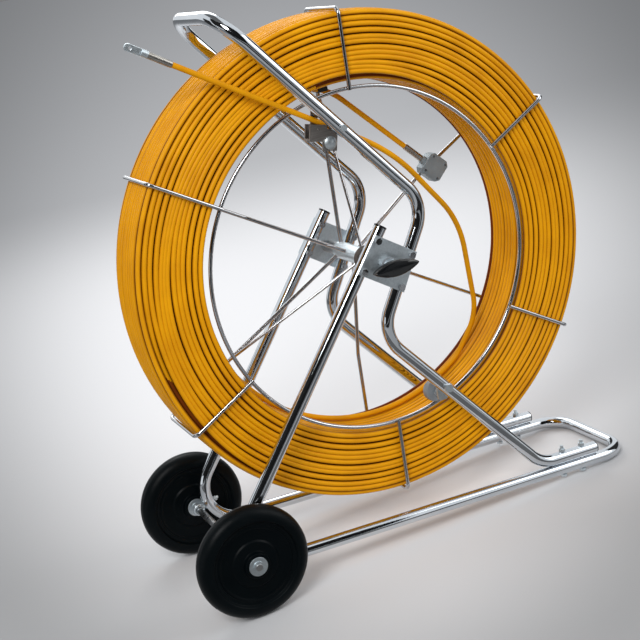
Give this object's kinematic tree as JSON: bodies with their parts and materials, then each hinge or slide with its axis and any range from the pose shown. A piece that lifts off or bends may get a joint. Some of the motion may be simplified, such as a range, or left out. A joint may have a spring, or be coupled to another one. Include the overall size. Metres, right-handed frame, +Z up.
{
  "type": "duct rod reel",
  "caption": "Glass-fibre duct rod coiled in a wire cage that turns on a wheeled tube stand, with a brake knob, rod guide and handle.",
  "frame": {"origin": "on the floor under the middle of the part's box", "axes": "+X from the wheels to the U end of the base, +Y from the brake knob side to the far side, +Z up"},
  "size_m": [1.0414, 0.4348, 1.1356],
  "materials": {
    "tube": "bright chrome-plated steel tube",
    "wire": "bright chrome-plated steel wire, welded",
    "spindle_steel": "turned steel",
    "zinc": "bright zinc-plated steel",
    "dull_zinc": "dull zinc-plated steel",
    "glass_fibre": "yellow-jacketed glass-fibre rod",
    "ferrule_metal": "dull plated ferrule",
    "tyre_rubber": "solid black rubber",
    "wheel_plastic": "black moulded plastic",
    "black_plastic": "black moulded plastic",
    "grey_nylon": "grey nylon",
    "brake_lining": "pressed friction lining",
    "die_cast": "die-cast grey metal"
  },
  "bodies": {
    "stand": {"base_tube": "tube", "handle_tube": "tube", "strut_caps": "black_plastic", "foot_caps": "black_plastic", "hub_plate_front": "zinc", "hub_plate_rear": "zinc", "plate_bolts": "zinc", "plate_nuts": "zinc", "foot_bolts": "zinc", "foot_nuts": "zinc", "spindle": "spindle_steel", "spindle_nut": "zinc", "rear_spacer": "spindle_steel", "plate_bush": "grey_nylon", "shoe_pins": "zinc", "wheel_axle": "spindle_steel", "axle_eye_bolts": "zinc", "axle_nuts": "zinc", "wheel_washers": "zinc", "axle_clips": "zinc", "guide_frame": "dull_zinc", "guide_pins": "dull_zinc", "guide_bolt": "zinc", "live_rod": "glass_fibre", "tip_ferrule": "ferrule_metal", "pulling_eye": "spindle_steel", "steady_bracket": "zinc", "steady_bolt": "zinc", "steady_pin": "zinc"},
    "reel": {"reel_hub": "zinc", "hub_bushes": "grey_nylon", "hoop_1": "wire", "hoop_2": "wire", "hoop_3": "wire", "hoop_4": "wire", "hoop_5": "wire", "hoop_6": "wire", "front_ring": "wire", "brace_2": "wire", "brace_4": "wire", "brace_6": "wire", "rod_coil": "glass_fibre", "anchored_rod": "glass_fibre", "anchor_ferrule": "ferrule_metal", "rod_clip": "black_plastic", "anchor_box": "die_cast", "anchor_cover": "die_cast", "anchor_fixings": "zinc"},
    "front_wheel": {"tyre_front": "tyre_rubber", "wheel_core_front": "wheel_plastic"},
    "rear_wheel": {"tyre_rear": "tyre_rubber", "wheel_core_rear": "wheel_plastic"},
    "brake_knob": {"brake_knob": "black_plastic", "knob_sleeve": "zinc"},
    "brake_shoe": {"brake_shoe": "brake_lining"},
    "guide_low_roller": {"guide_low_roller": "grey_nylon"},
    "guide_top_roller": {"guide_top_roller": "black_plastic"},
    "steady_roller": {"steady_roller": "grey_nylon"}
  },
  "joints": [
    {"name": "reel_spin", "type": "hinge", "parent": "stand", "child": "reel", "pos_m": [0.00963, 0, 0.588], "axis": [0, 1, 0], "continuous": true},
    {"name": "front_wheel_spin", "type": "hinge", "parent": "stand", "child": "front_wheel", "pos_m": [-0.40663, -0.18, 0.114], "axis": [0, 1, 0], "continuous": true},
    {"name": "rear_wheel_spin", "type": "hinge", "parent": "stand", "child": "rear_wheel", "pos_m": [-0.40663, 0.18, 0.114], "axis": [0, 1, 0], "continuous": true},
    {"name": "brake_turn", "type": "hinge", "parent": "stand", "child": "brake_knob", "pos_m": [0.00963, -0.175, 0.588], "axis": [0, -1, 0], "range_deg": [-270, 0]},
    {"name": "shoe_slide", "type": "slide", "parent": "stand", "child": "brake_shoe", "axis": [0, -1, 0], "range_m": [-0.0015, 0]},
    {"name": "guide_low_spin", "type": "hinge", "parent": "stand", "child": "guide_low_roller", "pos_m": [-0.06777, -0.101, 0.87655], "axis": [0, 1, 0], "continuous": true},
    {"name": "guide_top_spin", "type": "hinge", "parent": "stand", "child": "guide_top_roller", "pos_m": [-0.06092, -0.101, 0.90402], "axis": [0, 1, 0], "continuous": true},
    {"name": "steady_spin", "type": "hinge", "parent": "stand", "child": "steady_roller", "pos_m": [0.09047, -0.08, 0.27983], "axis": [0, 1, 0], "continuous": true}
  ],
  "couplings": [
    {"joint": "shoe_slide", "follows": "brake_turn", "m_per_rad": 0.00031831},
    {"joint": "steady_spin", "follows": "reel_spin", "ratio": 14.87}
  ]
}
